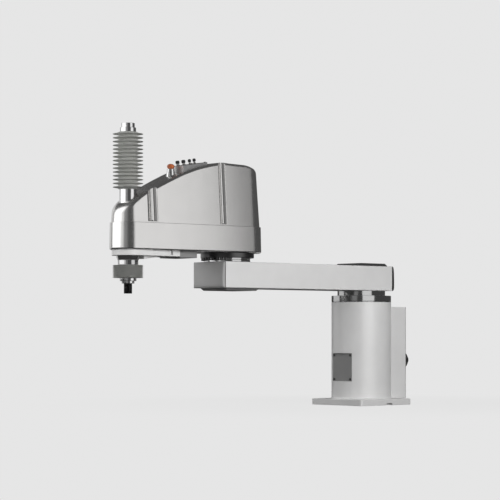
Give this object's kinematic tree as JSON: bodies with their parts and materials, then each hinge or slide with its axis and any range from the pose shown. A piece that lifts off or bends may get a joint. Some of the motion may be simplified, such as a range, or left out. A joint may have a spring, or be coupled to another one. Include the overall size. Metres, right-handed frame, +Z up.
{
  "type": "SCARA robot arm",
  "caption": "Four-axis SCARA robot arm: column base, straight first arm, tall second arm housing, bellows-covered ball screw spline shaft.",
  "frame": {"origin": "on the first joint's axis, in the bottom face of the base plate", "axes": "+X along both arms at rest, from the base to the shaft; +Z up along the joint axes; +Y to the left of the arms seen from the base"},
  "size_m": [1.2287, 0.238, 0.876],
  "materials": {
    "cast_white": "light grey satin paint on cast aluminium",
    "paint_white": "light grey satin paint on aluminium",
    "dark_paint": "dark grey satin paint on sheet aluminium",
    "black_paint": "black paint on aluminium housings",
    "plated": "satin plated",
    "plated_cover": "satin plated",
    "chrome": "polished",
    "dark_steel": "dark polished steel",
    "steel": "machined",
    "shaft_steel": "hardened and ground, dark",
    "aluminium": "machined",
    "dark_metal": "black anodised",
    "brass": "nickel plated brass",
    "rubber": "moulded",
    "bellows": "grey coated cloth",
    "black_plastic": "moulded",
    "lens": "orange red, translucent"
  },
  "bodies": {
    "base": {"base_casting": "cast_white", "rear_housing": "paint_white", "rear_panel": "dark_paint", "power_connector": "dark_metal", "signal_connector": "dark_metal", "dsub_port_15": "steel", "dsub_port_9": "steel", "air_port_1": "brass", "air_port_2": "brass", "front_cover_plate": "dark_paint", "front_cover_screw_1": "dark_metal", "front_cover_screw_2": "dark_metal", "front_cover_screw_3": "dark_metal", "front_cover_screw_4": "dark_metal", "j1_motor_mount": "aluminium", "j1_motor": "black_paint", "j1_reducer_ring": "dark_steel"},
    "j1_cam": {"j1_wave_generator": "steel"},
    "arm1": {"j1_output_flange": "dark_steel", "arm1_beam": "paint_white", "arm1_front_cap": "dark_paint", "arm1_rear_cap": "dark_paint", "arm1_top_cover": "dark_paint", "arm1_bottom_cover": "dark_paint", "j2_reducer_ring": "dark_steel"},
    "j2_cam": {"j2_wave_generator": "steel"},
    "arm2": {"j2_output_flange": "dark_steel", "j2_motor": "black_paint", "arm2_casting": "plated", "arm2_cover": "plated_cover", "shaft_plate": "paint_white", "under_cover": "dark_paint", "spline_nut_housing": "aluminium", "ball_nut_housing": "chrome", "motor_plate": "aluminium", "z_motor": "black_paint", "u_motor": "black_paint", "z_belt": "rubber", "u_belt": "rubber", "upper_bellows": "bellows", "lower_bellows": "bellows", "lamp_base": "chrome", "lamp_lens": "lens", "user_panel": "paint_white", "user_fitting_1": "black_plastic", "user_fitting_2": "black_plastic", "user_fitting_3": "black_plastic", "user_fitting_4": "black_plastic"},
    "spline_nut_body": {"spline_nut": "steel", "u_nut_pulley": "aluminium"},
    "ball_nut_body": {"ball_nut": "steel", "z_nut_pulley": "aluminium"},
    "z_drive": {"z_motor_pulley": "aluminium"},
    "u_drive": {"u_motor_pulley": "aluminium"},
    "carriage": {"upper_collar": "chrome", "upper_bearing": "steel", "lower_collar": "chrome", "lower_bearing": "steel"},
    "shaft_body": {"shaft": "shaft_steel"},
    "button_body": {"brake_release_button": "black_plastic"}
  },
  "joints": [
    {"name": "joint_1", "type": "hinge", "parent": "base", "child": "arm1", "pos_m": [0, 0, 0.3655], "axis": [0, 0, 1], "range_deg": [-152, 152]},
    {"name": "j1_cam_spin", "type": "hinge", "parent": "base", "child": "j1_cam", "pos_m": [0, 0, 0.331], "axis": [0, 0, 1], "range_deg": [-12170, 12170]},
    {"name": "joint_2", "type": "hinge", "parent": "arm1", "child": "arm2", "pos_m": [0.6, 0, 0.477], "axis": [0, 0, 1], "range_deg": [-152.5, 152.5]},
    {"name": "j2_cam_spin", "type": "hinge", "parent": "arm2", "child": "j2_cam", "pos_m": [0.6, 0, 0.434], "axis": [0, 0, 1], "range_deg": [-7790, 7790]},
    {"name": "joint_3", "type": "slide", "parent": "arm2", "child": "carriage", "axis": [0, 0, -1], "range_m": [0, 0.13], "deforming": ["upper_bellows", "lower_bellows"]},
    {"name": "joint_4", "type": "hinge", "parent": "carriage", "child": "shaft_body", "pos_m": [1, 0, 0.36], "axis": [0, 0, 1], "range_deg": [-360, 360]},
    {"name": "spline_nut_spin", "type": "hinge", "parent": "arm2", "child": "spline_nut_body", "pos_m": [1, 0, 0.486], "axis": [0, 0, 1], "range_deg": [-361, 361]},
    {"name": "u_drive_spin", "type": "hinge", "parent": "arm2", "child": "u_drive", "pos_m": [0.785, 0, 0.51375], "axis": [0, 0, 1], "range_deg": [-842, 842]},
    {"name": "ball_nut_spin", "type": "hinge", "parent": "arm2", "child": "ball_nut_body", "pos_m": [1, 0, 0.585], "axis": [0, 0, 1], "range_deg": [-5, 2345]},
    {"name": "z_drive_spin", "type": "hinge", "parent": "arm2", "child": "z_drive", "pos_m": [0.875, 0, 0.53875], "axis": [0, 0, 1], "range_deg": [-5, 5465]},
    {"name": "brake_button_press", "type": "slide", "parent": "arm2", "child": "button_body", "axis": [0, 0, -1], "range_m": [0, 0.002], "stiffness_N_per_m": 300, "springref_m": -0.002}
  ],
  "couplings": [
    {"joint": "j1_cam_spin", "follows": "joint_1", "ratio": -80},
    {"joint": "j2_cam_spin", "follows": "joint_2", "ratio": -51},
    {"joint": "spline_nut_spin", "follows": "joint_4", "ratio": 1},
    {"joint": "u_drive_spin", "follows": "joint_4", "ratio": 2.3333},
    {"joint": "ball_nut_spin", "follows": "joint_3", "rad_per_m": 314.16},
    {"joint": "z_drive_spin", "follows": "joint_3", "rad_per_m": 733.04}
  ]
}
